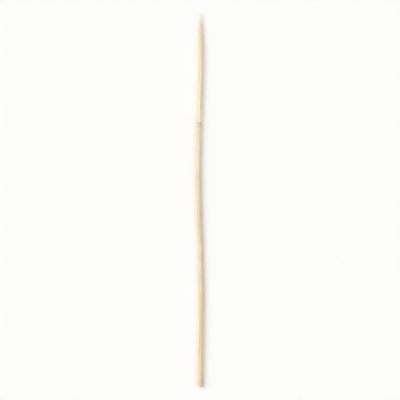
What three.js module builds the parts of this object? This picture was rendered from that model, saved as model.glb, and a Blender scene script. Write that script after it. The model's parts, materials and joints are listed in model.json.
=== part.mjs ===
// Bamboo skewer: one stick of cane wood, drawn round through a die, ground to a long point at one end
// and sawn off square at the other. It lies on a table as it comes to rest, with its bends flat on the table.
// Millimetres, +Z up. The stick runs along Y with its point towards +Y, and the table is Z = 0.

import * as THREE from 'three';
import { mergeVertices } from 'three/addons/utils/BufferGeometryUtils.js';

// Stick
const overallLength = 250;
const shankDiameter = 3.0;
const shankTaper = 0.08;
const sectionOval = 0.07;

// Sideways bends left by drying: waves of one, two, three and four half-turns over the length
const bowSway = -0.42;
const sBendSway = 0.47;
const tripleSway = 0.61;
const quadrupleSway = -0.22;

// Ground point
const pointLength = 22;
const pointCrown = 0.12;
const tipRadius = 0.24;
const tipWander = 0.14;

// Sawn butt
const buttChamfer = 0.16;

// Node scar, where the leaf ring of the cane crossed the stick on its skin side
const nodeFromTip = 75;
const nodeLength = 7;
const nodeRise = 0.09;
const nodeDip = 0.05;

// Fineness of the mesh
const sectionSides = 32;
const shankStep = 6;
const nodeSteps = 12;
const pointSteps = 12;
const tipSteps = 4;

const buttY = -overallLength / 2;
const tipY = overallLength / 2;
const pointStartY = tipY - pointLength;
const nodeY = tipY - nodeFromTip;

const bambooMaterial = new THREE.MeshStandardMaterial({
  name: 'bamboo',
  color: 0xe9d3a3,
  roughness: 0.58,
  metalness: 0,
});

// How far along the stick a place is, from 0 at the butt to 1 at the tip.
function shareOfLength(y) {
  return (y - buttY) / overallLength;
}

// The die wears and the stick dries, so it is a little slimmer towards the point.
function shankRadius(y) {
  return (shankDiameter - shankTaper * shareOfLength(y)) / 2;
}

// Half the width of the point: a straight cone down to the rounded tip, with slightly crowned flanks.
function pointRadius(y) {
  const share = (y - pointStartY) / (pointLength - tipRadius);
  const cone = THREE.MathUtils.lerp(shankRadius(pointStartY), tipRadius, share);
  return cone + pointCrown * Math.sin(Math.PI * share);
}

// Places along the shank where the section is drawn, closer together over the node scar.
function shankStations() {
  const nodeStart = nodeY - nodeLength / 2;
  const nodeEnd = nodeY + nodeLength / 2;
  const stations = [];
  addStations(stations, buttY + buttChamfer, nodeStart, shankStep);
  addStations(stations, nodeStart, nodeEnd, nodeLength / nodeSteps);
  addStations(stations, nodeEnd, pointStartY, shankStep);
  return stations;
}

// Adds evenly spaced places from one end of a stretch up to, but without, its other end.
function addStations(stations, from, to, step) {
  const count = Math.max(1, Math.round((to - from) / step));
  for (let index = 0; index < count; index += 1) {
    stations.push(THREE.MathUtils.lerp(from, to, index / count));
  }
}

// The outline from the middle of the butt, along the shank and the point, to the very tip.
function skewerOutline() {
  const outline = [
    new THREE.Vector2(0, buttY),
    new THREE.Vector2(shankRadius(buttY) - buttChamfer, buttY),
  ];
  for (const y of shankStations()) {
    outline.push(new THREE.Vector2(shankRadius(y), y));
  }
  for (let step = 0; step < pointSteps; step += 1) {
    const y = pointStartY + (pointLength - tipRadius) * (step / pointSteps);
    outline.push(new THREE.Vector2(pointRadius(y), y));
  }
  for (let step = 0; step < tipSteps; step += 1) {
    const angle = (Math.PI / 2) * (step / tipSteps);
    const y = tipY - tipRadius + tipRadius * Math.sin(angle);
    outline.push(new THREE.Vector2(tipRadius * Math.cos(angle), y));
  }
  outline.push(new THREE.Vector2(0, tipY));
  return outline;
}

// The scar on the skin side: a low ridge with a shallow dip on the side towards the point.
function nodeRelief(y, skinShare) {
  const across = (y - nodeY) / (nodeLength / 2);
  if (Math.abs(across) >= 1) {
    return 0;
  }
  const window = (1 + Math.cos(Math.PI * across)) / 2;
  const ridge = nodeRise * window * window;
  const dip = across > 0 ? nodeDip * Math.sin(Math.PI * across) ** 2 : 0;
  return (ridge - dip) * skinShare * skinShare;
}

// How far the stick's axis stands to the right of the straight line from butt to tip.
function sidewaysBend(y) {
  const halfTurn = Math.PI * shareOfLength(y);
  const slowBends = bowSway * Math.sin(halfTurn) + sBendSway * Math.sin(2 * halfTurn);
  const quickBends = tripleSway * Math.sin(3 * halfTurn) + quadrupleSway * Math.sin(4 * halfTurn);
  return slowBends + quickBends;
}

// Turns the straight round stick into the real one: oval in section, scarred on top, bent sideways,
// with its underside flat along the table and its tip a little off the axis.
function shapeStick(geometry) {
  const position = geometry.attributes.position;
  const place = new THREE.Vector3();
  for (let index = 0; index < position.count; index += 1) {
    place.fromBufferAttribute(position, index);
    const radius = Math.hypot(place.x, place.z);
    const skinShare = radius > 0 ? Math.max(0, place.z / radius) : 0;
    const pointShare = Math.max(0, (place.y - pointStartY) / pointLength);
    const halfHeight = shankRadius(place.y) - sectionOval / 4;
    const squash = sectionOval / 4 / shankRadius(place.y);
    place.x *= 1 + squash;
    place.z *= 1 - squash;
    place.x += sidewaysBend(place.y) + tipWander * pointShare * pointShare;
    place.z += halfHeight + nodeRelief(place.y, skinShare);
    position.setXYZ(index, place.x, place.y, place.z);
  }
}

function makeSkewer() {
  const lathe = new THREE.LatheGeometry(skewerOutline(), sectionSides);
  lathe.deleteAttribute('normal');
  lathe.deleteAttribute('uv');
  const geometry = mergeVertices(lathe, 1e-4);
  shapeStick(geometry);
  geometry.computeBoundingBox();
  const middle = geometry.boundingBox.getCenter(new THREE.Vector3());
  geometry.translate(-middle.x, 0, -geometry.boundingBox.min.z);
  geometry.computeVertexNormals();
  const skewer = new THREE.Mesh(geometry, bambooMaterial);
  skewer.name = 'skewer';
  return skewer;
}

const bambooSkewer = new THREE.Group();
bambooSkewer.add(makeSkewer());

export default bambooSkewer;
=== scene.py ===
"""A bamboo skewer, dressed for a close look.

It is one stick of cane wood, drawn round through a die, ground to a point at one end and sawn off at the
other. The sizes repeat those of the solid part, and the frame gives the length and the place.
"""

import json
import math
from types import SimpleNamespace

import bpy
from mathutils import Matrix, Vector


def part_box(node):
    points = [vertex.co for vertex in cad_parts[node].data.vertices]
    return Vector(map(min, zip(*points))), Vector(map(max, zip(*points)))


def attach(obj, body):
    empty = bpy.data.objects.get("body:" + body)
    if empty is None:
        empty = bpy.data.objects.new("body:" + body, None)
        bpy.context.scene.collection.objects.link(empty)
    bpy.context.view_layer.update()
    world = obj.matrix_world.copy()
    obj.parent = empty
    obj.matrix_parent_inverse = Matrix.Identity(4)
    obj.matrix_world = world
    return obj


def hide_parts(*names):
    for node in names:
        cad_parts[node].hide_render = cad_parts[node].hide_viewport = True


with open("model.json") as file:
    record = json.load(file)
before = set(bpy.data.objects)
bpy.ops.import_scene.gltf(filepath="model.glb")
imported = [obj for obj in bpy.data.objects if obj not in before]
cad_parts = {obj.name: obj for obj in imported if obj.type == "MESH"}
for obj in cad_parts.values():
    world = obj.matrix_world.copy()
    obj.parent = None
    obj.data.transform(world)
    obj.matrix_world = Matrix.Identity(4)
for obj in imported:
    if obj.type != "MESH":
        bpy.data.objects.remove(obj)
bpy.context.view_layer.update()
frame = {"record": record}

bl_info = {
    "name": "Bamboo skewer",
    "version": (1, 0, 0),
    "blender": (4, 5, 0),
    "location": "View3D > Sidebar > Skewer",
    "description": "Builds a bamboo skewer with its fibres, node scar, ground point and sawn butt",
    "category": "Object",
}

MM = 0.001

# Places taken from the frame, in metres
STICK_LOW, STICK_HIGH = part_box("skewer")
STICK_LENGTH = STICK_HIGH.y - STICK_LOW.y
BUTT_MIDDLE = next(m["pos_m"] for m in frame["record"]["mounts"] if m["name"] == "butt_end")

# Fineness of the mesh: sides of a ring, and rings on each stretch from the butt to the tip
SIDES = 144
BUTT_RINGS = 18
CHAMFER_RINGS = 4
SHANK_RINGS = 446
NODE_RINGS = 40
POINT_RINGS = 84
TIP_RINGS = 8
MERGE_DISTANCE = 0.0005 * MM

# The fibre bundles: how far apart they lie on the skin side and on the side of the cane's hollow, where
# the one gives way to the other, how far they drift sideways, and over what length
BUNDLE_SPACING_SKIN = 0.34 * MM
BUNDLE_SPACING_HOLLOW = 0.56 * MM
SKIN_SIDE_START = -0.9 * MM
SKIN_SIDE_END = 0.9 * MM
BUNDLE_DRIFT = 1.5 * MM
BUNDLE_DRIFT_LENGTH = 45 * MM

# One bundle, in shares of the spacing: its firm core, its edge, and how far neighbours run together
BUNDLE_CORE = 0.12
BUNDLE_EDGE = 0.52
BUNDLE_BLEND = 0.12

# Slow changes of the stick's thickness, and the ring radius below which all relief dies away to the tip
WAVER_DEPTH = 0.035 * MM
RELIEF_FADE_RADIUS = 0.4 * MM

# The node's leaf ring, which slants through the wood and wobbles round the stick
NODE_SLANT_UP = 0.35
NODE_SLANT_ACROSS = 0.2
NODE_SLANT_START = -0.5 * MM
NODE_WOBBLE = 0.5 * MM
NODE_WOBBLE_WIDTH = 1.1 * MM
SWIRL = 1.3 * MM
SWIRL_WIDTH = 2.6 * MM

# Shapes along the node scar, as (share of its length, height): how far the fibres swirl, the relief, in
# which 0.5 is flush with the stick, and the strength of the brown streaks, the olive shade and the pale ring
SWIRL_SHAPE = ((0.0, 0.0), (0.3, 0.25), (0.55, 1.0), (0.8, 0.25), (1.0, 0.0))
RELIEF_SHAPE = ((0.0, 0.5), (0.2, 0.56), (0.40, 0.86), (0.5, 1.0), (0.58, 0.82), (0.68, 0.34), (0.84, 0.42),
                (1.0, 0.5))
BROWN_SHAPE = ((0.0, 0.0), (0.52, 0.0), (0.59, 0.82), (0.67, 0.40), (0.95, 0.0), (1.0, 0.0))
OLIVE_SHAPE = ((0.0, 0.0), (0.1, 0.0), (0.34, 0.35), (0.41, 0.62), (0.46, 0.0), (1.0, 0.0))
RING_SHAPE = ((0.0, 0.0), (0.40, 0.0), (0.47, 0.42), (0.53, 0.42), (0.58, 0.0), (1.0, 0.0))

# The sawn butt: how much of the tear the soft tissue and the chips take, and the grooves of the saw
SOFT_TEAR = 0.45
CHIP_TEAR = 0.5
SAW_PITCH = 0.3 * MM
SAW_DEPTH = 0.006 * MM
HANDLED_LENGTH = 9 * MM

# Lifted fibres: how many for each square metre of surface, and where they may start. They keep to the
# flanks, within the stick's outermost bends and clear of the butt, so that none stands past the solid's box.
FLANK_FIBRE_DENSITY = 60000
BURR_DENSITY = 700000
FLANK_STEEPNESS = 0.55
FIBRE_REACH = 2.12 * MM
FIBRE_END_GAP = 5 * MM
BURR_NEAR = 3.0 * MM
BURR_FAR = 4.6 * MM

# One lifted fibre: its root under the surface, its middle over it, how far its end rises for its length,
# how thin that end is for its root, the shortest and longest in shares of the usual one, and its fineness
FIBRE_ROOT = -0.03 * MM
FIBRE_MIDDLE = 0.03 * MM
FIBRE_RISE = 0.09
FIBRE_END_THICKNESS = 0.12
FIBRE_SHORTEST = 0.35
FIBRE_LONGEST = 1.3
FIBRE_STEPS = 5
FIBRE_SIDES = 5

# What the geometry writes on every point and the material reads: its kind, and the output that gives it
MARKS = {
    "grain": ("FLOAT_VECTOR", "Vector"),
    "bundle": ("FLOAT", "Fac"),
    "torn": ("FLOAT", "Fac"),
    "node_share": ("FLOAT", "Fac"),
    "ground": ("FLOAT", "Fac"),
    "sawn": ("FLOAT", "Fac"),
    "handled": ("FLOAT", "Fac"),
}

# The stage: half the width of the paper in metres, the lamps by name, direction and strength, how broad
# they are, the strength of the sky's light, and the camera's lens, sensor and margin round the stick
PAPER_REACH = 6.0
LAMPS = (("key", (-1.6, 0.6, 1.5), 1.7), ("fill", (1.6, -0.4, 1.8), 0.68))
LAMP_SPREAD = math.radians(48)
SKY_LIGHT = 0.5
LENS = 85
SENSOR = 36
MARGIN = 1.07

# How Blender shows a length or a colour in the panel
LENGTH = {"unit": "LENGTH", "subtype": "DISTANCE", "precision": 5}
COLOUR = {"subtype": "COLOR", "size": 4, "min": 0, "max": 1}

# How the nodes are laid out in their editor
NODES_IN_A_ROW = 14
NODE_STEP_ACROSS = 190
NODE_STEP_DOWN = 260

# Settings that many nodes share
SUBTRACT = {"operation": "SUBTRACT"}
MULTIPLY = {"operation": "MULTIPLY"}
MULTIPLY_ADD = {"operation": "MULTIPLY_ADD"}
DIVIDE = {"operation": "DIVIDE"}
SCALE = {"operation": "SCALE"}
SINE = {"operation": "SINE"}
ABSOLUTE = {"operation": "ABSOLUTE"}
MAXIMUM = {"operation": "MAXIMUM"}
LESS = {"operation": "LESS_THAN"}
GREATER = {"operation": "GREATER_THAN"}
BOTH = {"operation": "AND"}
SMOOTHLY = {"interpolation_type": "SMOOTHSTEP"}
AS_NUMBER = {"data_type": "FLOAT"}
AS_VECTOR = {"data_type": "FLOAT_VECTOR"}
AS_COLOUR = {"data_type": "RGBA"}


def hex_colour(text):
    """The linear colour of an sRGB hex value such as #EAD7AC, with alpha 1."""
    shares = [int(text[place:place + 2], 16) / 255 for place in (1, 3, 5)]
    linear = [s / 12.92 if s <= 0.04045 else ((s + 0.055) / 1.055) ** 2.4 for s in shares]
    return (*linear, 1.0)


def add_node(tree, kind, settings=None, inputs=None, output=0):
    """Adds a node, makes its settings, fills or links its inputs, and returns one of its outputs."""
    node = tree.nodes.new(kind)
    count = len(tree.nodes)
    row, column = divmod(count, NODES_IN_A_ROW)
    node.location = (column * NODE_STEP_ACROSS, -row * NODE_STEP_DOWN)
    for name, value in (settings or {}).items():
        setattr(node, name, value)
    for name, value in (inputs or {}).items():
        if isinstance(value, bpy.types.NodeSocket):
            tree.links.new(value, node.inputs[name])
        else:
            node.inputs[name].default_value = value
    return node.outputs[output] if len(node.outputs) else None


class SkewerSizes(bpy.types.PropertyGroup):
    """The sizes of the stick that a user would change."""

    shank_diameter: bpy.props.FloatProperty(
        name="Shank diameter", description="Diameter at the butt, as the die leaves it",
        default=3.0 * MM, min=1 * MM, max=10 * MM, **LENGTH)
    shank_taper: bpy.props.FloatProperty(
        name="Shank taper", description="How much slimmer the stick is at the far end than at the butt",
        default=0.08 * MM, min=0, max=1 * MM, **LENGTH)
    section_oval: bpy.props.FloatProperty(
        name="Oval", description="How much wider than high the section is, taken over both axes",
        default=0.07 * MM, min=0, max=0.5 * MM, **LENGTH)
    point_length: bpy.props.FloatProperty(
        name="Point length", description="Length of the ground point",
        default=22 * MM, min=3 * MM, max=60 * MM, **LENGTH)
    point_crown: bpy.props.FloatProperty(
        name="Point crown", description="How far the flanks of the point bulge past a straight cone",
        default=0.12 * MM, min=0, max=1 * MM, **LENGTH)
    tip_radius: bpy.props.FloatProperty(
        name="Tip radius", description="Radius of the blunt tip",
        default=0.24 * MM, min=0.05 * MM, max=1 * MM, **LENGTH)
    tip_wander: bpy.props.FloatProperty(
        name="Tip wander", description="How far the tip lies off the axis",
        default=0.14 * MM, min=0, max=1 * MM, **LENGTH)
    butt_chamfer: bpy.props.FloatProperty(
        name="Butt edge", description="Width of the worn edge round the sawn butt",
        default=0.16 * MM, min=0.02 * MM, max=1 * MM, **LENGTH)
    butt_tear: bpy.props.FloatProperty(
        name="Butt tear", description="Depth to which the saw tore the soft tissue out of the butt",
        default=0.13 * MM, min=0, max=0.5 * MM, **LENGTH)
    node_from_tip: bpy.props.FloatProperty(
        name="Node place", description="Distance of the node scar from the tip",
        default=75 * MM, min=30 * MM, max=230 * MM, **LENGTH)
    node_length: bpy.props.FloatProperty(
        name="Node length", description="Length of the node scar along the stick",
        default=7 * MM, min=2 * MM, max=20 * MM, **LENGTH)
    node_rise: bpy.props.FloatProperty(
        name="Node rise", description="Height of the ridge of the node scar",
        default=0.09 * MM, min=0, max=0.5 * MM, **LENGTH)
    fibre_depth: bpy.props.FloatProperty(
        name="Fibre depth", description="Depth of the hollows between the fibre bundles",
        default=0.03 * MM, min=0, max=0.2 * MM, **LENGTH)
    sliver_depth: bpy.props.FloatProperty(
        name="Sliver depth", description="Depth of the shallow scars where slivers were torn out by the die",
        default=0.07 * MM, min=0, max=0.3 * MM, **LENGTH)
    lifted_length: bpy.props.FloatProperty(
        name="Lifted fibre length", description="Length of the fibres that stand off the flanks",
        default=2.2 * MM, min=0.2 * MM, max=8 * MM, **LENGTH)
    lifted_thickness: bpy.props.FloatProperty(
        name="Lifted fibre thickness", description="Thickness of the lifted fibres at their root",
        default=0.11 * MM, min=0.02 * MM, max=0.4 * MM, **LENGTH)


class SkewerBends(bpy.types.PropertyGroup):
    """The sideways bends of the stick, as waves over its length."""

    bow_sway: bpy.props.FloatProperty(
        name="Bow", description="Height of the wave of one half-turn", default=-0.42 * MM, **LENGTH)
    s_bend_sway: bpy.props.FloatProperty(
        name="S bend", description="Height of the wave of two half-turns", default=0.47 * MM, **LENGTH)
    triple_sway: bpy.props.FloatProperty(
        name="Triple bend", description="Height of the wave of three half-turns",
        default=0.61 * MM, **LENGTH)
    quadruple_sway: bpy.props.FloatProperty(
        name="Quadruple bend", description="Height of the wave of four half-turns",
        default=-0.22 * MM, **LENGTH)


class BambooColours(bpy.types.PropertyGroup):
    """The colours of the cane wood."""

    tissue: bpy.props.FloatVectorProperty(
        name="Ground tissue", description="The pale cream between the fibre bundles",
        default=hex_colour("#F8EDCF"), **COLOUR)
    honey: bpy.props.FloatVectorProperty(
        name="Honey bands", description="Broad bands where the cane is riper",
        default=hex_colour("#EBD3A0"), **COLOUR)
    ripe: bpy.props.FloatVectorProperty(
        name="Ripe cane", description="The duller tan of the stretch below the node and of the point",
        default=hex_colour("#D8B981"), **COLOUR)
    bundle: bpy.props.FloatVectorProperty(
        name="Fibre bundles", description="The tan streaks of the fibre bundles",
        default=hex_colour("#B98A49"), **COLOUR)
    scar: bpy.props.FloatVectorProperty(
        name="Node brown", description="The brown streaks just above the node ring",
        default=hex_colour("#A5691C"), **COLOUR)
    olive: bpy.props.FloatVectorProperty(
        name="Node olive", description="The olive shade just below the node ring",
        default=hex_colour("#A68B45"), **COLOUR)
    ring: bpy.props.FloatVectorProperty(
        name="Node ring", description="The pale ridge of the node",
        default=hex_colour("#F6E9C4"), **COLOUR)
    end_grain: bpy.props.FloatVectorProperty(
        name="End grain", description="The darker sawn face of the butt",
        default=hex_colour("#D2B27F"), **COLOUR)


# The outline of the stick

def shank_radius(sizes, y):
    """Half the thickness of the shank at a place along it."""
    share = (y - STICK_LOW.y) / STICK_LENGTH
    return (sizes.shank_diameter - sizes.shank_taper * share) / 2


def point_radius(sizes, y):
    """Half the thickness of the point: a cone with crowned flanks down to the blunt tip."""
    start = STICK_HIGH.y - sizes.point_length
    share = (y - start) / (sizes.point_length - sizes.tip_radius)
    cone = shank_radius(sizes, start) * (1 - share) + sizes.tip_radius * share
    return cone + sizes.point_crown * math.sin(math.pi * share)


def spread(start, end, count):
    """Evenly spaced places from start up to, but without, end."""
    return [start + (end - start) * index / count for index in range(count)]


def skewer_outline(sizes):
    """The outline from the middle of the butt to the very tip, as (place along the stick, radius) pairs."""
    butt, tip = STICK_LOW.y, STICK_HIGH.y
    chamfer = sizes.butt_chamfer
    face_edge = shank_radius(sizes, butt) - chamfer
    node_start = tip - sizes.node_from_tip - sizes.node_length / 2
    node_end = node_start + sizes.node_length
    point_start = tip - sizes.point_length
    plain_length = point_start - butt - sizes.node_length
    low_rings = round(SHANK_RINGS * (node_start - butt) / plain_length)
    outline = [(butt, radius) for radius in spread(0, face_edge, BUTT_RINGS)]
    for turn in spread(0, math.pi / 2, CHAMFER_RINGS):
        outline.append((butt + chamfer * (1 - math.cos(turn)), face_edge + chamfer * math.sin(turn)))
    shank = spread(butt + chamfer, node_start, low_rings)
    shank += spread(node_start, node_end, NODE_RINGS)
    shank += spread(node_end, point_start, SHANK_RINGS - low_rings)
    outline += [(y, shank_radius(sizes, y)) for y in shank]
    cone = spread(point_start, tip - sizes.tip_radius, POINT_RINGS)
    outline += [(y, point_radius(sizes, y)) for y in cone]
    for turn in spread(0, math.pi / 2, TIP_RINGS):
        y = tip - sizes.tip_radius * (1 - math.sin(turn))
        outline.append((y, sizes.tip_radius * math.cos(turn)))
    outline.append((tip, 0))
    return outline


def outline_object(sizes):
    """A chain of points, one for each ring of the stick, that carries the ring's place and radius."""
    outline = skewer_outline(sizes)
    mesh = bpy.data.meshes.new("bamboo_skewer")
    places = [(0, index * MM, 0) for index in range(len(outline))]
    edges = [(index, index + 1) for index in range(len(outline) - 1)]
    mesh.from_pydata(places, edges, [])
    station = mesh.attributes.new("station", "FLOAT", "POINT")
    station.data.foreach_set("value", [y for y, _ in outline])
    ring_radius = mesh.attributes.new("ring_radius", "FLOAT", "POINT")
    ring_radius.data.foreach_set("value", [radius for _, radius in outline])
    stick = bpy.data.objects.new("bamboo_skewer", mesh)
    bpy.context.scene.collection.objects.link(stick)
    return stick


# Patterns that the geometry and the material share

def noise_drawn_out(tree, place, width, squeeze, detail=1.0):
    """Noise with features of one width, drawn out along each axis whose squeeze is less than 1."""
    squeezed = add_node(tree, "ShaderNodeVectorMath", MULTIPLY, {0: place, 1: squeeze})
    return add_node(tree, "ShaderNodeTexNoise", {},
                    {"Vector": squeezed, "Scale": 1 / width, "Detail": detail}, "Fac")


def streaks(tree, place, width, stretch, low, high):
    """Streaks of one width along the stick: 0 where their noise is below low, 1 where it is above high."""
    noise = noise_drawn_out(tree, place, width, (1, 1 / stretch, 1), 1.5)
    return add_node(tree, "ShaderNodeMapRange", SMOOTHLY,
                    {"Value": noise, "From Min": low, "From Max": high})


def shape_curve(node, points):
    """Gives a float curve node its points."""
    curve = node.mapping.curves[0]
    curve.points[0].location = points[0]
    curve.points[1].location = points[-1]
    for location in points[1:-1]:
        curve.points.new(*location)
    node.mapping.update()


# The geometry of the stick

def straight_stick(tree, given):
    """A straight tube with one ring for each point of the outline, at its place and with its radius."""
    path = add_node(tree, "GeometryNodeMeshToCurve", {}, {"Mesh": given["Outline"]})
    circle = add_node(tree, "GeometryNodeCurvePrimitiveCircle", {}, {"Resolution": SIDES, "Radius": 1.0})
    stick = add_node(tree, "GeometryNodeCurveToMesh", {}, {"Curve": path, "Profile Curve": circle})
    station = add_node(tree, "GeometryNodeInputNamedAttribute", AS_NUMBER, {"Name": "station"})
    radius = add_node(tree, "GeometryNodeInputNamedAttribute", AS_NUMBER, {"Name": "ring_radius"})
    ring_place = add_node(tree, "GeometryNodeInputPosition")
    across = add_node(tree, "ShaderNodeVectorMath", MULTIPLY, {0: ring_place, 1: (1, 0, 1)})
    outward = add_node(tree, "ShaderNodeVectorMath", {"operation": "NORMALIZE"}, {0: across})
    widened = add_node(tree, "ShaderNodeVectorMath", SCALE, {0: outward, "Scale": radius})
    along = add_node(tree, "ShaderNodeCombineXYZ", {}, {"Y": station})
    straight = add_node(tree, "ShaderNodeVectorMath", {}, {0: widened, 1: along})
    for name, value in (("straight", straight), ("outward", outward)):
        stick = add_node(tree, "GeometryNodeStoreNamedAttribute", AS_VECTOR,
                         {"Geometry": stick, "Name": name, "Value": value})
    return add_node(tree, "GeometryNodeSetPosition", {}, {"Geometry": stick, "Position": straight})


def read_stick(tree, given):
    """What each point knows of the straight stick: its place, its outward side and its ring's radius."""
    on = SimpleNamespace()
    on.place = add_node(tree, "GeometryNodeInputNamedAttribute", AS_VECTOR, {"Name": "straight"})
    on.side = add_node(tree, "GeometryNodeInputNamedAttribute", AS_VECTOR, {"Name": "outward"})
    on.radius = add_node(tree, "GeometryNodeInputNamedAttribute", AS_NUMBER, {"Name": "ring_radius"})
    on.x, on.y, on.z = add_node(tree, "ShaderNodeSeparateXYZ", {}, {0: on.place}).node.outputs
    on.side_z = add_node(tree, "ShaderNodeSeparateXYZ", {}, {0: on.side}, "Z")
    on.depth_in = add_node(tree, "ShaderNodeMath", SUBTRACT, {0: on.y, 1: given["Butt Place"]})
    on.tip_place = add_node(tree, "ShaderNodeMath", {}, {0: given["Butt Place"], 1: given["Length"]})
    on.point_start = add_node(tree, "ShaderNodeMath", SUBTRACT, {0: on.tip_place, 1: given["Point Length"]})
    return on


def node_share_of(tree, given, on):
    """How far along the node scar a place lies, on a ring that slants through the wood and wobbles."""
    half_node = add_node(tree, "ShaderNodeMath", DIVIDE, {0: given["Node Length"], 1: 2})
    node_low = add_node(tree, "ShaderNodeMath", SUBTRACT, {0: given["Node Place"], 1: half_node})
    node_high = add_node(tree, "ShaderNodeMath", {}, {0: given["Node Place"], 1: half_node})
    wobble = add_node(tree, "ShaderNodeTexNoise", {}, {"Vector": on.place, "Scale": 1 / NODE_WOBBLE_WIDTH},
                      "Fac")
    wobble_shift = add_node(tree, "ShaderNodeMapRange", {},
                            {"Value": wobble, "To Min": -NODE_WOBBLE, "To Max": NODE_WOBBLE})
    below_skin = add_node(tree, "ShaderNodeMath", MULTIPLY_ADD,
                          {0: on.z, 1: NODE_SLANT_UP, 2: NODE_SLANT_START})
    slant = add_node(tree, "ShaderNodeMath", MULTIPLY_ADD, {0: on.x, 1: NODE_SLANT_ACROSS, 2: below_skin})
    slanted_y = add_node(tree, "ShaderNodeMath", {}, {0: on.y, 1: slant})
    wobbled_y = add_node(tree, "ShaderNodeMath", {}, {0: slanted_y, 1: wobble_shift})
    return add_node(tree, "ShaderNodeMapRange", {},
                    {"Value": wobbled_y, "From Min": node_low, "From Max": node_high})


def swirled_grain(tree, on, node_share):
    """Where a place lies in the grain, whose fibres swirl sideways as they pass the node."""
    window = add_node(tree, "ShaderNodeFloatCurve", {}, {"Value": node_share})
    shape_curve(window.node, SWIRL_SHAPE)
    noise = add_node(tree, "ShaderNodeTexNoise", {}, {"Vector": on.place, "Scale": 1 / SWIRL_WIDTH}, "Color")
    centred = add_node(tree, "ShaderNodeVectorMath", SUBTRACT, {0: noise, 1: (0.5, 0.5, 0.5)})
    size = add_node(tree, "ShaderNodeMath", MULTIPLY, {0: window, 1: SWIRL})
    swirl = add_node(tree, "ShaderNodeVectorMath", SCALE, {0: centred, "Scale": size})
    return add_node(tree, "ShaderNodeVectorMath", {}, {0: on.place, 1: swirl})


def bundle_mask(tree, place, spacing):
    """1 in the middle of a fibre bundle and 0 in the soft tissue between two of them.

    A bundle runs the whole length of the cane but drifts slowly sideways, so on the drawn stick it comes
    to the surface as a streak of some centimetres, on the point as a long oval and on the butt as a dot.
    """
    along = add_node(tree, "ShaderNodeVectorMath", MULTIPLY, {0: place, 1: (0, 1 / BUNDLE_DRIFT_LENGTH, 0)})
    noise = add_node(tree, "ShaderNodeTexNoise", {}, {"Vector": along, "Scale": 1.0, "Detail": 1.0}, "Color")
    centred = add_node(tree, "ShaderNodeVectorMath", SUBTRACT, {0: noise, 1: (0.5, 0.5, 0.5)})
    drift = add_node(tree, "ShaderNodeVectorMath", SCALE, {0: centred, "Scale": BUNDLE_DRIFT})
    drifted = add_node(tree, "ShaderNodeVectorMath", {}, {0: place, 1: drift})
    across, _, up = add_node(tree, "ShaderNodeSeparateXYZ", {}, {0: drifted}).node.outputs
    section = add_node(tree, "ShaderNodeCombineXYZ", {}, {"X": across, "Y": up})
    distance = add_node(tree, "ShaderNodeTexVoronoi", {"voronoi_dimensions": "2D", "feature": "SMOOTH_F1"},
                        {"Vector": section, "Scale": 1 / spacing, "Smoothness": BUNDLE_BLEND}, "Distance")
    return add_node(tree, "ShaderNodeMapRange", SMOOTHLY,
                    {"Value": distance, "From Min": BUNDLE_EDGE, "From Max": BUNDLE_CORE})


def fibre_bundles(tree, on, grain):
    """The bundles of the whole stick: fine and close on the skin side, on top, coarse and sparse below."""
    fine = bundle_mask(tree, grain, BUNDLE_SPACING_SKIN)
    coarse = bundle_mask(tree, grain, BUNDLE_SPACING_HOLLOW)
    skin_side = add_node(tree, "ShaderNodeMapRange", SMOOTHLY,
                         {"Value": on.z, "From Min": SKIN_SIDE_START, "From Max": SKIN_SIDE_END})
    return add_node(tree, "ShaderNodeMix", AS_NUMBER, {0: skin_side, 2: coarse, 3: fine})


def read_marks(tree, given, on):
    """What the material is told at each point, under the names of MARKS."""
    node_share = node_share_of(tree, given, on)
    grain = swirled_grain(tree, on, node_share)
    bundle = fibre_bundles(tree, on, grain)
    torn = streaks(tree, grain, width=0.75 * MM, stretch=34, low=0.60, high=0.68)
    ground = add_node(tree, "ShaderNodeMapRange", {},
                      {"Value": on.y, "From Min": on.point_start, "From Max": on.tip_place})
    sawn = add_node(tree, "ShaderNodeMapRange", {},
                    {"Value": on.depth_in, "From Max": given["Butt Edge"], "To Min": 1.0, "To Max": 0.0})
    handled = add_node(tree, "ShaderNodeMapRange", {},
                       {"Value": on.depth_in, "From Max": HANDLED_LENGTH, "To Min": 1.0, "To Max": 0.0})
    return {"grain": grain, "bundle": bundle, "torn": torn, "node_share": node_share, "ground": ground,
            "sawn": sawn, "handled": handled}


def node_relief(tree, given, on, node_share):
    """Height of the node scar: a ridge with a dip beside it, on the skin side alone."""
    profile = add_node(tree, "ShaderNodeFloatCurve", {}, {"Value": node_share})
    shape_curve(profile.node, RELIEF_SHAPE)
    raised = add_node(tree, "ShaderNodeMapRange", {}, {"Value": profile, "To Min": -1.0, "To Max": 1.0})
    skin = add_node(tree, "ShaderNodeMath", MAXIMUM, {0: on.side_z, 1: 0})
    skin_squared = add_node(tree, "ShaderNodeMath", MULTIPLY, {0: skin, 1: skin})
    height = add_node(tree, "ShaderNodeMath", MULTIPLY, {0: raised, 1: given["Node Rise"]})
    return add_node(tree, "ShaderNodeMath", MULTIPLY, {0: height, 1: skin_squared})


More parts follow.
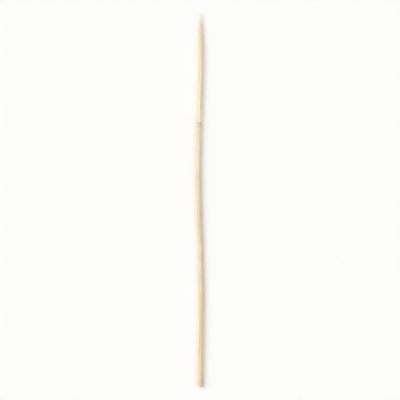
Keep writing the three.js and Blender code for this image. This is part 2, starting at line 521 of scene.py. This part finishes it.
def side_carving(tree, given, on, marks, softness):
    """Moves the side in at the hollows, torn slivers and slow changes of thickness, and out at the node."""
    hollow_cut = add_node(tree, "ShaderNodeMath", MULTIPLY, {0: softness, 1: given["Fibre Depth"]})
    sliver_cut = add_node(tree, "ShaderNodeMath", MULTIPLY, {0: marks["torn"], 1: given["Sliver Depth"]})
    waver = streaks(tree, on.place, width=2.2 * MM, stretch=16, low=0.2, high=0.8)
    waver_cut = add_node(tree, "ShaderNodeMath", MULTIPLY, {0: waver, 1: WAVER_DEPTH})
    two_cuts = add_node(tree, "ShaderNodeMath", {}, {0: hollow_cut, 1: sliver_cut})
    all_cuts = add_node(tree, "ShaderNodeMath", {}, {0: two_cuts, 1: waver_cut})
    scar = node_relief(tree, given, on, marks["node_share"])
    full_relief = add_node(tree, "ShaderNodeMath", SUBTRACT, {0: scar, 1: all_cuts})
    fade = add_node(tree, "ShaderNodeMapRange", {}, {"Value": on.radius, "From Max": RELIEF_FADE_RADIUS})
    relief = add_node(tree, "ShaderNodeMath", MULTIPLY, {0: full_relief, 1: fade})
    radial = add_node(tree, "ShaderNodeVectorMath", SCALE, {0: on.side, "Scale": relief})
    is_side = add_node(tree, "ShaderNodeMapRange", {},
                       {"Value": marks["sawn"], "To Min": 1.0, "To Max": 0.0})
    return add_node(tree, "ShaderNodeVectorMath", SCALE, {0: radial, "Scale": is_side})


def butt_carving(tree, given, on, marks, softness):
    """Moves the sawn face in where soft tissue and chips tore out, and in the fine grooves of the saw."""
    chips = streaks(tree, marks["grain"], width=0.8 * MM, stretch=1, low=0.50, high=0.62)
    soft = add_node(tree, "ShaderNodeMath", MULTIPLY, {0: softness, 1: SOFT_TEAR})
    tear = add_node(tree, "ShaderNodeMath", MULTIPLY_ADD, {0: chips, 1: CHIP_TEAR, 2: soft})
    tear_depth = add_node(tree, "ShaderNodeMath", MULTIPLY, {0: tear, 1: given["Butt Tear"]})
    groove_turn = add_node(tree, "ShaderNodeMath", MULTIPLY, {0: on.x, 1: 2 * math.pi / SAW_PITCH})
    groove = add_node(tree, "ShaderNodeMath", SINE, {0: groove_turn})
    groove_depth = add_node(tree, "ShaderNodeMath", MULTIPLY_ADD, {0: groove, 1: SAW_DEPTH, 2: SAW_DEPTH})
    full_depth = add_node(tree, "ShaderNodeMath", {}, {0: tear_depth, 1: groove_depth})
    depth = add_node(tree, "ShaderNodeMath", MULTIPLY, {0: full_depth, 1: marks["sawn"]})
    return add_node(tree, "ShaderNodeCombineXYZ", {}, {"Y": depth})


def carved_stick(tree, given, on, marks, stick):
    """The straight stick with its side and its butt carved, and the doubled points at its ends merged."""
    softness = add_node(tree, "ShaderNodeMath", SUBTRACT, {0: 1.0, 1: marks["bundle"]})
    side_cut = side_carving(tree, given, on, marks, softness)
    inward = butt_carving(tree, given, on, marks, softness)
    carving = add_node(tree, "ShaderNodeVectorMath", {}, {0: side_cut, 1: inward})
    carved = add_node(tree, "GeometryNodeSetPosition", {}, {"Geometry": stick, "Offset": carving})
    return add_node(tree, "GeometryNodeMergeByDistance", {},
                    {"Geometry": carved, "Distance": MERGE_DISTANCE})


def laid_stick(tree, given, on):
    """Where a point goes when the section is pressed oval and the stick is bent and laid on the table."""
    place = add_node(tree, "GeometryNodeInputPosition")
    straight_x, y, _ = add_node(tree, "ShaderNodeSeparateXYZ", {}, {0: place}).node.outputs
    share = add_node(tree, "ShaderNodeMapRange", {},
                     {"Value": y, "From Min": given["Butt Place"], "From Max": on.tip_place})
    shrink = add_node(tree, "ShaderNodeMath", MULTIPLY, {0: share, 1: given["Shank Taper"]})
    thickness = add_node(tree, "ShaderNodeMath", SUBTRACT, {0: given["Shank Diameter"], 1: shrink})
    shank_half = add_node(tree, "ShaderNodeMath", DIVIDE, {0: thickness, 1: 2})
    quarter = add_node(tree, "ShaderNodeMath", DIVIDE, {0: given["Oval"], 1: 4})
    squash = add_node(tree, "ShaderNodeMath", DIVIDE, {0: quarter, 1: shank_half})
    wide = add_node(tree, "ShaderNodeMath", {}, {0: 1, 1: squash})
    low = add_node(tree, "ShaderNodeMath", SUBTRACT, {0: 1, 1: squash})
    oval = add_node(tree, "ShaderNodeCombineXYZ", {}, {"X": wide, "Y": 1, "Z": low})
    pressed = add_node(tree, "ShaderNodeVectorMath", MULTIPLY, {0: place, 1: oval})

    sway = given["Axis Offset"]
    for turns, name in enumerate(("Bow Sway", "S Bend Sway", "Triple Sway", "Quadruple Sway"), start=1):
        turn = add_node(tree, "ShaderNodeMath", MULTIPLY, {0: share, 1: math.pi * turns})
        wave = add_node(tree, "ShaderNodeMath", SINE, {0: turn})
        sway = add_node(tree, "ShaderNodeMath", MULTIPLY_ADD, {0: wave, 1: given[name], 2: sway})
    ground = add_node(tree, "ShaderNodeMapRange", {},
                      {"Value": y, "From Min": on.point_start, "From Max": on.tip_place})
    ground_squared = add_node(tree, "ShaderNodeMath", MULTIPLY, {0: ground, 1: ground})
    sway = add_node(tree, "ShaderNodeMath", MULTIPLY_ADD,
                    {0: ground_squared, 1: given["Tip Wander"], 2: sway})

    # The underside lies flat along the table
    height = add_node(tree, "ShaderNodeMath", SUBTRACT, {0: shank_half, 1: quarter})
    shift = add_node(tree, "ShaderNodeCombineXYZ", {}, {"X": sway, "Z": height})
    laid = SimpleNamespace()
    laid.place = add_node(tree, "ShaderNodeVectorMath", {}, {0: pressed, 1: shift})
    laid.reach = add_node(tree, "ShaderNodeMath", {}, {0: straight_x, 1: sway})
    return laid


def tapered_fibre(tree, given):
    """One fibre along +Y, rooted just under the surface at its thick end and rising to a thin free end."""
    length = given["Fibre Length"]
    rise = add_node(tree, "ShaderNodeMath", MULTIPLY, {0: length, 1: FIBRE_RISE})
    half_way = add_node(tree, "ShaderNodeMath", MULTIPLY, {0: length, 1: 0.5})
    root = add_node(tree, "ShaderNodeCombineXYZ", {}, {"Z": FIBRE_ROOT})
    middle = add_node(tree, "ShaderNodeCombineXYZ", {}, {"Y": half_way, "Z": FIBRE_MIDDLE})
    end = add_node(tree, "ShaderNodeCombineXYZ", {}, {"Y": length, "Z": rise})
    arc = add_node(tree, "GeometryNodeCurveQuadraticBezier", {},
                   {"Resolution": FIBRE_STEPS, "Start": root, "Middle": middle, "End": end})
    along = add_node(tree, "GeometryNodeSplineParameter")
    taper = add_node(tree, "ShaderNodeMapRange", {},
                     {"Value": along, "To Min": 1.0, "To Max": FIBRE_END_THICKNESS})
    radius = add_node(tree, "ShaderNodeMath", DIVIDE, {0: given["Fibre Thickness"], 1: 2})
    section = add_node(tree, "GeometryNodeCurvePrimitiveCircle", {},
                       {"Resolution": FIBRE_SIDES, "Radius": radius})
    return add_node(tree, "GeometryNodeCurveToMesh", {},
                    {"Curve": arc, "Profile Curve": section, "Scale": taper, "Fill Caps": True})


def lifted_fibres(tree, stick, side, fibre, chosen, density, backwards_share, seed):
    """Fibres that the die raised where chosen is true, some pointing to the tip and some to the butt."""
    points = add_node(tree, "GeometryNodeDistributePointsOnFaces", {},
                      {"Mesh": stick, "Selection": chosen, "Density": density, "Seed": seed}, "Points")
    stood = add_node(tree, "FunctionNodeAlignRotationToVector", {"axis": "Z"}, {"Vector": side})
    turned = add_node(tree, "FunctionNodeAlignRotationToVector", {"axis": "Y", "pivot_axis": "Z"},
                      {"Rotation": stood, "Vector": (0, 1, 0)})
    size = add_node(tree, "FunctionNodeRandomValue", AS_NUMBER,
                    {2: FIBRE_SHORTEST, 3: FIBRE_LONGEST, "Seed": seed + 1}, 1)
    backwards = add_node(tree, "FunctionNodeRandomValue", {"data_type": "BOOLEAN"},
                         {"Probability": backwards_share, "Seed": seed + 2}, 3)
    flip = add_node(tree, "GeometryNodeSwitch", {"input_type": "VECTOR"},
                    {"Switch": backwards, "False": (0, 0, 0), "True": (0, 0, math.pi)})
    spun = add_node(tree, "FunctionNodeRotateRotation", {"rotation_space": "LOCAL"},
                    {"Rotation": turned, "Rotate By": flip})
    placed = add_node(tree, "GeometryNodeInstanceOnPoints", {},
                      {"Points": points, "Instance": fibre, "Rotation": spun, "Scale": size})
    return add_node(tree, "GeometryNodeRealizeInstances", {}, {0: placed})


def with_fibres(tree, given, on, laid, stick):
    """Joins the stick with fibres lifted along its flanks and with burrs that the saw left by the butt."""
    steep = add_node(tree, "ShaderNodeMath", ABSOLUTE, {0: on.side_z})
    width = add_node(tree, "ShaderNodeMath", ABSOLUTE, {0: laid.reach})
    on_flank = add_node(tree, "FunctionNodeCompare", LESS, {0: steep, 1: FLANK_STEEPNESS})
    has_room = add_node(tree, "FunctionNodeCompare", LESS, {0: width, 1: FIBRE_REACH})
    off_butt = add_node(tree, "FunctionNodeCompare", GREATER, {0: on.depth_in, 1: FIBRE_END_GAP})
    past_near = add_node(tree, "FunctionNodeCompare", GREATER, {0: on.depth_in, 1: BURR_NEAR})
    before_far = add_node(tree, "FunctionNodeCompare", LESS, {0: on.depth_in, 1: BURR_FAR})
    roomy = add_node(tree, "FunctionNodeBooleanMath", BOTH, {0: on_flank, 1: has_room})
    by_butt = add_node(tree, "FunctionNodeBooleanMath", BOTH, {0: past_near, 1: before_far})
    on_shank = add_node(tree, "FunctionNodeBooleanMath", BOTH, {0: roomy, 1: off_butt})
    at_butt = add_node(tree, "FunctionNodeBooleanMath", BOTH, {0: roomy, 1: by_butt})
    fibre = tapered_fibre(tree, given)
    flank_fibres = lifted_fibres(tree, stick, on.side, fibre, chosen=on_shank, density=FLANK_FIBRE_DENSITY,
                                 backwards_share=0.35, seed=11)
    burrs = lifted_fibres(tree, stick, on.side, fibre, chosen=at_butt, density=BURR_DENSITY,
                          backwards_share=1.0, seed=23)
    whole = add_node(tree, "GeometryNodeJoinGeometry")
    for part in (stick, flank_fibres, burrs):
        tree.links.new(part, whole.node.inputs[0])
    return whole


def skewer_tree(sizes, bends, material):
    """The tree that sweeps, carves and bends the stick, and the values of its named inputs."""
    tree = bpy.data.node_groups.new("Bamboo skewer", "GeometryNodeTree")
    tree.is_modifier = True
    lengths = {
        "Length": STICK_LENGTH,
        "Butt Place": STICK_LOW.y,
        "Shank Diameter": sizes.shank_diameter,
        "Shank Taper": sizes.shank_taper,
        "Oval": sizes.section_oval,
        "Point Length": sizes.point_length,
        "Tip Wander": sizes.tip_wander,
        "Node Place": STICK_HIGH.y - sizes.node_from_tip,
        "Node Length": sizes.node_length,
        "Node Rise": sizes.node_rise,
        "Fibre Depth": sizes.fibre_depth,
        "Sliver Depth": sizes.sliver_depth,
        "Butt Edge": sizes.butt_chamfer,
        "Butt Tear": sizes.butt_tear,
        "Fibre Length": sizes.lifted_length,
        "Fibre Thickness": sizes.lifted_thickness,
        "Bow Sway": bends.bow_sway,
        "S Bend Sway": bends.s_bend_sway,
        "Triple Sway": bends.triple_sway,
        "Quadruple Sway": bends.quadruple_sway,
        "Axis Offset": BUTT_MIDDLE[0],
    }
    tree.interface.new_socket(name="Outline", in_out="INPUT", socket_type="NodeSocketGeometry")
    for name in lengths:
        tree.interface.new_socket(name=name, in_out="INPUT", socket_type="NodeSocketFloat")
    tree.interface.new_socket(name="Bamboo", in_out="INPUT", socket_type="NodeSocketMaterial")
    tree.interface.new_socket(name="Skewer", in_out="OUTPUT", socket_type="NodeSocketGeometry")
    given = tree.nodes.new("NodeGroupInput").outputs

    straight = straight_stick(tree, given)
    on = read_stick(tree, given)
    marks = read_marks(tree, given, on)
    carved = carved_stick(tree, given, on, marks, straight)
    laid = laid_stick(tree, given, on)
    whole = with_fibres(tree, given, on, laid, carved)
    stick = add_node(tree, "GeometryNodeSetPosition", {}, {"Geometry": whole, "Position": laid.place})
    for name, (kind, _) in MARKS.items():
        stick = add_node(tree, "GeometryNodeStoreNamedAttribute", {"data_type": kind},
                         {"Geometry": stick, "Name": name, "Value": marks[name]})
    smooth = add_node(tree, "GeometryNodeSetShadeSmooth", {}, {0: stick})
    real = add_node(tree, "GeometryNodeRealizeInstances", {}, {0: smooth})
    done = add_node(tree, "GeometryNodeSetMaterial", {}, {"Geometry": real, "Material": given["Bamboo"]})
    add_node(tree, "NodeGroupOutput", {}, {"Skewer": done})
    return tree, {**lengths, "Bamboo": material}


def make_plain(piece, tree, values):
    """Runs a geometry tree on a piece and leaves the result as a plain mesh."""
    modifier = piece.modifiers.new("shape", "NODES")
    modifier.node_group = tree
    for item in tree.interface.items_tree:
        if item.in_out == "INPUT" and item.name in values:
            modifier[item.identifier] = values[item.name]
    evaluated = piece.evaluated_get(bpy.context.evaluated_depsgraph_get())
    mesh = bpy.data.meshes.new_from_object(evaluated)
    piece.modifiers.clear()
    piece.data = mesh


# The look of the bamboo

def lay_coats(tree, colour, coats):
    """Lays coats of colour over one another, each as strong as its share says, and returns the result."""
    for share, coat in coats:
        colour = add_node(tree, "ShaderNodeMix", AS_COLOUR, {0: share, 6: colour, 7: coat}, 2)
    return colour


def cane_colour(tree, colours, marks, hair):
    """The cane away from its node: cream with honey bands, tan fibre streaks and fine vessels."""
    grain, bundle, node_share = marks["grain"], marks["bundle"], marks["node_share"]

    # Broad bands, about a millimetre wide, where the cane is riper and more honey-coloured
    band = streaks(tree, grain, width=1.1 * MM, stretch=55, low=0.36, high=0.66)

    # The stretch below the node ripened longer and is duller, and the stretch above it is the palest
    below = add_node(tree, "ShaderNodeMapRange", {},
                     {"Value": node_share, "From Max": 0.45, "To Min": 0.34, "To Max": 0.0})
    above = add_node(tree, "ShaderNodeMapRange", {}, {"Value": node_share, "From Min": 0.6, "To Max": 0.25})

    # Fibre bundles: tan streaks along the stick
    streak = add_node(tree, "ShaderNodeMapRange", SMOOTHLY,
                      {"Value": bundle, "From Min": 0.45, "From Max": 1.0, "To Max": 0.55})

    # Open vessels: short dark dashes inside the bundles, drawn 0.1 mm wide where real ones are half that
    dash = streaks(tree, grain, width=0.1 * MM, stretch=30, low=0.58, high=0.70)
    vessel = add_node(tree, "ShaderNodeMath", MULTIPLY, {0: dash, 1: streak})

    # Slivers torn out by the die show fresh paler wood with a soft edge
    fresh = add_node(tree, "ShaderNodeMath", MULTIPLY, {0: marks["torn"], 1: 0.4})

    cane = lay_coats(tree, colours.tissue, (
        (band, colours.honey),
        (below, colours.ripe),
        (above, colours.ring),
        (streak, colours.bundle),
        (vessel, colours.scar),
        (fresh, colours.ring),
    ))
    hair_light = add_node(tree, "ShaderNodeMapRange", {},
                          {"Value": hair, "From Min": 0.3, "From Max": 0.7, "To Min": 0.91, "To Max": 1.06})
    return add_node(tree, "ShaderNodeHueSaturation", {}, {"Value": hair_light, "Color": cane})


def node_coats(tree, colours, node_share, hair):
    """The node: brown streaks on the side of the point, an olive shade on that of the butt, a pale ring."""
    ragged = add_node(tree, "ShaderNodeMapRange", {},
                      {"Value": hair, "From Min": 0.3, "From Max": 0.6, "To Min": 0.6, "To Max": 1.0})
    coats = []
    for shape, edge, colour in ((BROWN_SHAPE, ragged, colours.scar), (OLIVE_SHAPE, ragged, colours.olive),
                                (RING_SHAPE, 1.0, colours.ring)):
        window = add_node(tree, "ShaderNodeFloatCurve", {}, {"Value": node_share})
        shape_curve(window.node, shape)
        share = add_node(tree, "ShaderNodeMath", MULTIPLY, {0: window, 1: edge})
        coats.append((share, colour))
    return coats


def wear_coats(tree, colours, marks):
    """What making and storing leave: specks, grime near the butt and the scorch of the grinding stone."""
    speck = streaks(tree, marks["grain"], width=0.5 * MM, stretch=4, low=0.755, high=0.81)
    speck_share = add_node(tree, "ShaderNodeMath", MULTIPLY, {0: speck, 1: 0.6})
    dust = streaks(tree, marks["grain"], width=0.2 * MM, stretch=14, low=0.42, high=0.68)
    dust_near_butt = add_node(tree, "ShaderNodeMath", MULTIPLY, {0: dust, 1: marks["handled"]})
    dust_share = add_node(tree, "ShaderNodeMath", MULTIPLY, {0: dust_near_butt, 1: 0.55})
    scorched = add_node(tree, "ShaderNodeMapRange", {},
                        {"Value": marks["ground"], "From Max": 0.9, "To Max": 0.15})
    return [(speck_share, colours.scar), (dust_share, colours.bundle), (scorched, colours.ripe)]


def end_grain_coat(tree, colours, marks):
    """The sawn butt: end grain takes the light less than the side, and its bundles show as brown dots."""
    dot = add_node(tree, "ShaderNodeMapRange", SMOOTHLY,
                   {"Value": marks["bundle"], "From Min": 0.35, "From Max": 0.95, "To Max": 0.6})
    dotted = lay_coats(tree, colours.end_grain, [(dot, colours.scar)])
    saw_marks = noise_drawn_out(tree, marks["grain"], width=0.11 * MM, squeeze=(1, 0, 1 / 14))
    light_range = {"From Min": 0.3, "From Max": 0.7, "To Min": 0.78, "To Max": 1.12}
    saw_light = add_node(tree, "ShaderNodeMapRange", {}, {"Value": saw_marks, **light_range})
    grooved = add_node(tree, "ShaderNodeHueSaturation", {}, {"Value": saw_light, "Color": dotted})
    is_end = add_node(tree, "ShaderNodeMapRange", {},
                      {"Value": marks["sawn"], "From Min": 0.2, "From Max": 0.9, "To Max": 0.8})
    return is_end, grooved


def bamboo_material(colours):
    """Bare bamboo, drawn round through a die and left unvarnished.

    The die leaves a low waxy sheen on the hard fibre bundles and a duller one on the soft tissue between
    them, so the eye sees fine tan lines along a cream stick with a soft, broken highlight.
    """
    material = bpy.data.materials.new("die_drawn_bamboo")
    material.use_nodes = True
    tree = material.node_tree
    tree.nodes.clear()
    marks = {name: add_node(tree, "ShaderNodeAttribute", {"attribute_name": name}, {}, output)
             for name, (_, output) in MARKS.items()}

    # Hair-fine streaks of single fibres, drawn 0.14 mm wide where real ones are 0.02 mm
    hair = noise_drawn_out(tree, marks["grain"], width=0.14 * MM, squeeze=(1, 1 / 130, 1))

    cane = cane_colour(tree, colours, marks, hair)
    coats = node_coats(tree, colours, marks["node_share"], hair)
    coats += wear_coats(tree, colours, marks)
    coats.append(end_grain_coat(tree, colours, marks))
    wood = lay_coats(tree, cane, coats)

    # Fine bump: the single fibres, and on the point the stone's scratches across it, 0.2 mm apart
    scratches = noise_drawn_out(tree, marks["grain"], width=0.2 * MM, squeeze=(1 / 6, 1, 1 / 6))
    is_ground = add_node(tree, "ShaderNodeMapRange", {},
                         {"Value": marks["ground"], "From Max": 0.08, "To Max": 0.45})
    height = add_node(tree, "ShaderNodeMix", AS_NUMBER, {0: is_ground, 2: hair, 3: scratches})
    bump = add_node(tree, "ShaderNodeBump", {}, {"Height": height, "Distance": 0.02 * MM, "Strength": 0.6})
    rough = add_node(tree, "ShaderNodeMapRange", {},
                     {"Value": marks["bundle"], "To Min": 0.64, "To Max": 0.46})
    surface = add_node(tree, "ShaderNodeBsdfPrincipled", {},
                       {"Base Color": wood, "Roughness": rough, "IOR": 1.5, "Normal": bump})
    add_node(tree, "ShaderNodeOutputMaterial", {}, {"Surface": surface})
    return material


# The stage

def paper_material():
    """Matt white paper: a plain pale ground with no sheen, which takes a soft shadow."""
    material = bpy.data.materials.new("matt_white_paper")
    material.use_nodes = True
    surface = material.node_tree.nodes["Principled BSDF"]
    surface.inputs["Base Color"].default_value = hex_colour("#FAFAF8")
    surface.inputs["Roughness"].default_value = 0.9
    return material


def lay_paper():
    """Lays a wide sheet of paper on the table plane, and keeps it out of the part."""
    mesh = bpy.data.meshes.new("paper")
    reach = PAPER_REACH
    corners = [(-reach, -reach, 0), (reach, -reach, 0), (reach, reach, 0), (-reach, reach, 0)]
    mesh.from_pydata(corners, [], [(0, 1, 2, 3)])
    mesh.materials.append(paper_material())
    floor = bpy.data.objects.new("paper", mesh)
    bpy.context.scene.collection.objects.link(floor)


def add_lamp(name, direction, strength):
    """Adds a broad even light that falls from a direction, with soft shadows."""
    light = bpy.data.lights.new(name, "SUN")
    light.angle = LAMP_SPREAD
    light.energy = strength
    lamp = bpy.data.objects.new(name, light)
    lamp.location = direction
    lamp.rotation_euler = Vector(direction).to_track_quat("Z", "Y").to_euler()
    bpy.context.scene.collection.objects.link(lamp)


def studio_world():
    """An even pale sky that lights the skewer softly and shows white behind the paper and in reflections."""
    world = bpy.data.worlds.new("studio")
    world.use_nodes = True
    tree = world.node_tree
    tree.nodes.clear()
    rays = add_node(tree, "ShaderNodeLightPath").node.outputs
    mirrored = add_node(tree, "ShaderNodeMath", MAXIMUM,
                        {0: rays["Is Glossy Ray"], 1: rays["Is Transmission Ray"]})
    seen = add_node(tree, "ShaderNodeMath", MAXIMUM, {0: rays["Is Camera Ray"], 1: mirrored})
    strength = add_node(tree, "ShaderNodeMapRange", {}, {"Value": seen, "To Min": SKY_LIGHT, "To Max": 1.0})
    sky = add_node(tree, "ShaderNodeBackground", {}, {"Color": (1, 1, 1, 1), "Strength": strength})
    add_node(tree, "ShaderNodeOutputWorld", {}, {"Surface": sky})
    return world


def add_camera():
    """Hangs the camera straight above the skewer, with the point up in the picture."""
    data = bpy.data.cameras.new("above")
    data.lens = LENS
    data.sensor_width = SENSOR
    camera = bpy.data.objects.new("above", data)
    middle = (STICK_LOW + STICK_HIGH) / 2
    distance = STICK_LENGTH * MARGIN * LENS / SENSOR
    camera.location = (middle.x, middle.y, middle.z + distance)
    bpy.context.scene.collection.objects.link(camera)
    bpy.context.scene.camera = camera


class SKEWER_OT_stick(bpy.types.Operator):
    """Builds the stick with its fibres, node scar, ground point and sawn butt"""

    bl_idname = "skewer.stick"
    bl_label = "Bamboo skewer"

    def execute(self, context):
        scene = context.scene
        material = bamboo_material(scene.bamboo_colours)
        stick = outline_object(scene.skewer_sizes)
        tree, values = skewer_tree(scene.skewer_sizes, scene.skewer_bends, material)
        make_plain(stick, tree, values)
        if not stick.data.polygons:
            raise RuntimeError("The stick came out with no faces")
        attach(stick, "root")
        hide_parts("skewer")
        return {"FINISHED"}


class SKEWER_OT_stage(bpy.types.Operator):
    """Lays the white paper, hangs the lamps and sets the camera above the skewer"""

    bl_idname = "skewer.stage"
    bl_label = "Stage"

    def execute(self, context):
        lay_paper()
        for name, direction, strength in LAMPS:
            add_lamp(name, direction, strength)
        context.scene.world = studio_world()
        add_camera()
        context.scene.view_settings.view_transform = "Standard"
        return {"FINISHED"}


class SKEWER_PT_panel(bpy.types.Panel):
    """Lists the skewer's builders and sizes"""

    bl_idname = "SKEWER_PT_panel"
    bl_label = "Bamboo skewer"
    bl_space_type = "VIEW_3D"
    bl_region_type = "UI"
    bl_category = "Skewer"

    def draw(self, context):
        layout = self.layout
        for operator in (SKEWER_OT_stick, SKEWER_OT_stage):
            layout.operator(operator.bl_idname)
        for group in (context.scene.skewer_sizes, context.scene.skewer_bends, context.scene.bamboo_colours):
            for name in group.__annotations__:
                layout.prop(group, name)


CLASSES = (SkewerSizes, SkewerBends, BambooColours, SKEWER_OT_stick, SKEWER_OT_stage, SKEWER_PT_panel)


def register():
    """Registers the classes and hangs the settings on the scene."""
    for cls in CLASSES:
        bpy.utils.register_class(cls)
    bpy.types.Scene.skewer_sizes = bpy.props.PointerProperty(type=SkewerSizes)
    bpy.types.Scene.skewer_bends = bpy.props.PointerProperty(type=SkewerBends)
    bpy.types.Scene.bamboo_colours = bpy.props.PointerProperty(type=BambooColours)


def unregister():
    """Takes the settings and the classes away again."""
    del bpy.types.Scene.bamboo_colours
    del bpy.types.Scene.skewer_bends
    del bpy.types.Scene.skewer_sizes
    for cls in reversed(CLASSES):
        bpy.utils.unregister_class(cls)


def main():
    """Builds everything in order."""
    register()
    bpy.ops.skewer.stick()
    bpy.ops.skewer.stage()


if __name__ == "__main__":
    main()
